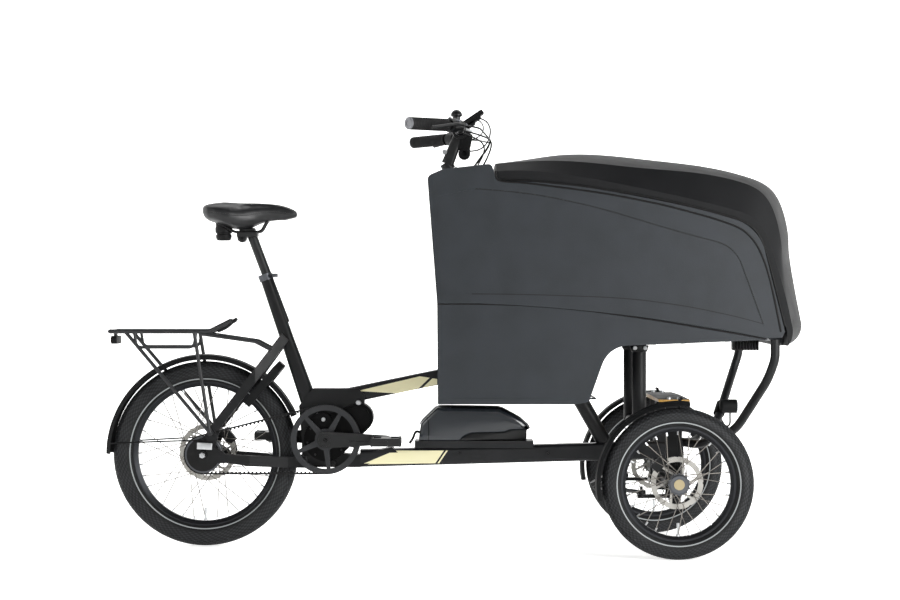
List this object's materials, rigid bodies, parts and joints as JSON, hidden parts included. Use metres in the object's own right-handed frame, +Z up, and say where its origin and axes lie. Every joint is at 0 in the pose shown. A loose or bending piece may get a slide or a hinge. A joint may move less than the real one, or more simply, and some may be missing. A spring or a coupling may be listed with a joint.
{
  "type": "electric cargo tricycle with a lidded front box",
  "caption": "Electric cargo tricycle with a hinged-lid front box between two steered front wheels, belt drive to a single rear wheel and a rear luggage rack.",
  "frame": {"origin": "on the ground at mid-length on the centre plane", "axes": "+X forward, +Y to the rider's left, +Z up"},
  "size_m": [1.9349, 0.73, 1.2189],
  "materials": {
    "alloy_black": "satin",
    "battery_plastic": "gloss",
    "belt_rubber": "matte",
    "box_plastic": "matte",
    "disc_steel": "brushed",
    "frame_black": "satin",
    "grip_rubber": "matte",
    "hub_black": "satin",
    "lamp_plastic": "gloss",
    "leaf_composite": "satin",
    "motor_black": "matte",
    "rim_black": "satin",
    "rubber_tyre": "matte",
    "saddle_cover": "matte",
    "small_plastic": "matte"
  },
  "bodies": {
    "frame": {"battery": "battery_plastic", "box_mounts": "frame_black", "box_shell": "box_plastic", "box_tub": "box_plastic", "bull_bar": "frame_black", "chain_stays": "frame_black", "column_tunnel": "box_plastic", "drive_belt": "belt_rubber", "front_tower": "frame_black", "head_tube": "frame_black", "headlight": "lamp_plastic", "leaf_spring": "leaf_composite", "lower_beam": "frame_black", "main_tube": "frame_black", "motor": "motor_black", "motor_bracket": "frame_black", "rear_axle": "hub_black", "rear_caliper": "frame_black", "rear_mudguard": "small_plastic", "rear_rack": "frame_black", "ring_lock": "small_plastic", "seat_clamp": "alloy_black", "seat_stays": "frame_black", "seat_tube": "frame_black", "tail_lamp": "lamp_plastic", "upper_tube": "frame_black", "uprights": "frame_black"},
    "rear_wheel": {"rear_tyre": "rubber_tyre", "rear_spoked_rim": "rim_black", "rear_hub": "hub_black", "rear_brake_disc": "disc_steel", "rear_sprocket": "hub_black"},
    "crank": {"crankset": "alloy_black", "belt_ring": "alloy_black"},
    "pedal_left": {"pedal_left": "alloy_black"},
    "pedal_right": {"pedal_right": "alloy_black"},
    "saddle_post": {"seatpost": "alloy_black", "saddle": "saddle_cover"},
    "steering": {"steering_column": "alloy_black", "stem": "alloy_black", "handlebar": "alloy_black", "grips": "grip_rubber", "brake_levers": "alloy_black", "display": "small_plastic", "brake_cables": "grip_rubber"},
    "lid": {"lid": "box_plastic"},
    "tie_rod_left": {"tie_rod_left": "frame_black"},
    "knuckle_left": {"knuckle_left": "frame_black", "front_mudguard_left": "small_plastic"},
    "front_wheel_left": {"front_tyre_left": "rubber_tyre", "front_spoked_rim_left": "rim_black", "front_hub_left": "hub_black", "front_brake_disc_left": "disc_steel"},
    "tie_rod_right": {"tie_rod_right": "frame_black"},
    "knuckle_right": {"knuckle_right": "frame_black", "front_mudguard_right": "small_plastic"},
    "front_wheel_right": {"front_tyre_right": "rubber_tyre", "front_spoked_rim_right": "rim_black", "front_hub_right": "hub_black", "front_brake_disc_right": "disc_steel"}
  },
  "joints": [
    {"name": "rear_wheel_spin", "type": "hinge", "parent": "frame", "child": "rear_wheel", "pos_m": [-0.689, 0, 0.258], "axis": [0, 1, 0], "continuous": true},
    {"name": "crank_spin", "type": "hinge", "parent": "frame", "child": "crank", "pos_m": [-0.35, 0, 0.3], "axis": [0, 1, 0], "continuous": true},
    {"name": "pedal_left_spin", "type": "hinge", "parent": "crank", "child": "pedal_left", "pos_m": [-0.52, 0.137, 0.3], "axis": [0, 1, 0], "continuous": true},
    {"name": "pedal_right_spin", "type": "hinge", "parent": "crank", "child": "pedal_right", "pos_m": [-0.18, -0.137, 0.3], "axis": [0, 1, 0], "continuous": true},
    {"name": "saddle_height", "type": "slide", "parent": "frame", "child": "saddle_post", "axis": [-0.3286, 0, 0.9445], "range_m": [-0.1, 0.06]},
    {"name": "lid_open", "type": "hinge", "parent": "frame", "child": "lid", "pos_m": [0.884, 0, 0.576], "axis": [0, 1, 0], "range_deg": [0, 68]},
    {"name": "steer", "type": "hinge", "parent": "frame", "child": "steering", "pos_m": [-0.005, 0, 1.05], "axis": [-0.4939, 0, 0.8695], "range_deg": [-32, 32]},
    {"name": "knuckle_left_turn", "type": "hinge", "parent": "frame", "child": "knuckle_left", "pos_m": [0.598, 0.262, 0.201], "axis": [0, 0, 1], "range_deg": [-29, 29]},
    {"name": "tie_rod_left_turn", "type": "hinge", "parent": "steering", "child": "tie_rod_left", "pos_m": [0.39963, 0.012, 0.17577], "axis": [-0.4939, 0, 0.8695], "range_deg": [-35, 35]},
    {"name": "front_wheel_left_spin", "type": "hinge", "parent": "knuckle_left", "child": "front_wheel_left", "pos_m": [0.598, 0.33, 0.201], "axis": [0, 1, 0], "continuous": true},
    {"name": "knuckle_right_turn", "type": "hinge", "parent": "frame", "child": "knuckle_right", "pos_m": [0.598, -0.262, 0.201], "axis": [0, 0, 1], "range_deg": [-29, 29]},
    {"name": "tie_rod_right_turn", "type": "hinge", "parent": "steering", "child": "tie_rod_right", "pos_m": [0.39963, -0.012, 0.17577], "axis": [-0.4939, 0, 0.8695], "range_deg": [-35, 35]},
    {"name": "front_wheel_right_spin", "type": "hinge", "parent": "knuckle_right", "child": "front_wheel_right", "pos_m": [0.598, -0.33, 0.201], "axis": [0, 1, 0], "continuous": true}
  ],
  "couplings": [
    {"joint": "knuckle_left_turn", "follows": "steer", "ratio": 0.87},
    {"joint": "tie_rod_left_turn", "follows": "steer", "ratio": -1},
    {"joint": "knuckle_right_turn", "follows": "steer", "ratio": 0.87},
    {"joint": "tie_rod_right_turn", "follows": "steer", "ratio": -1}
  ]
}
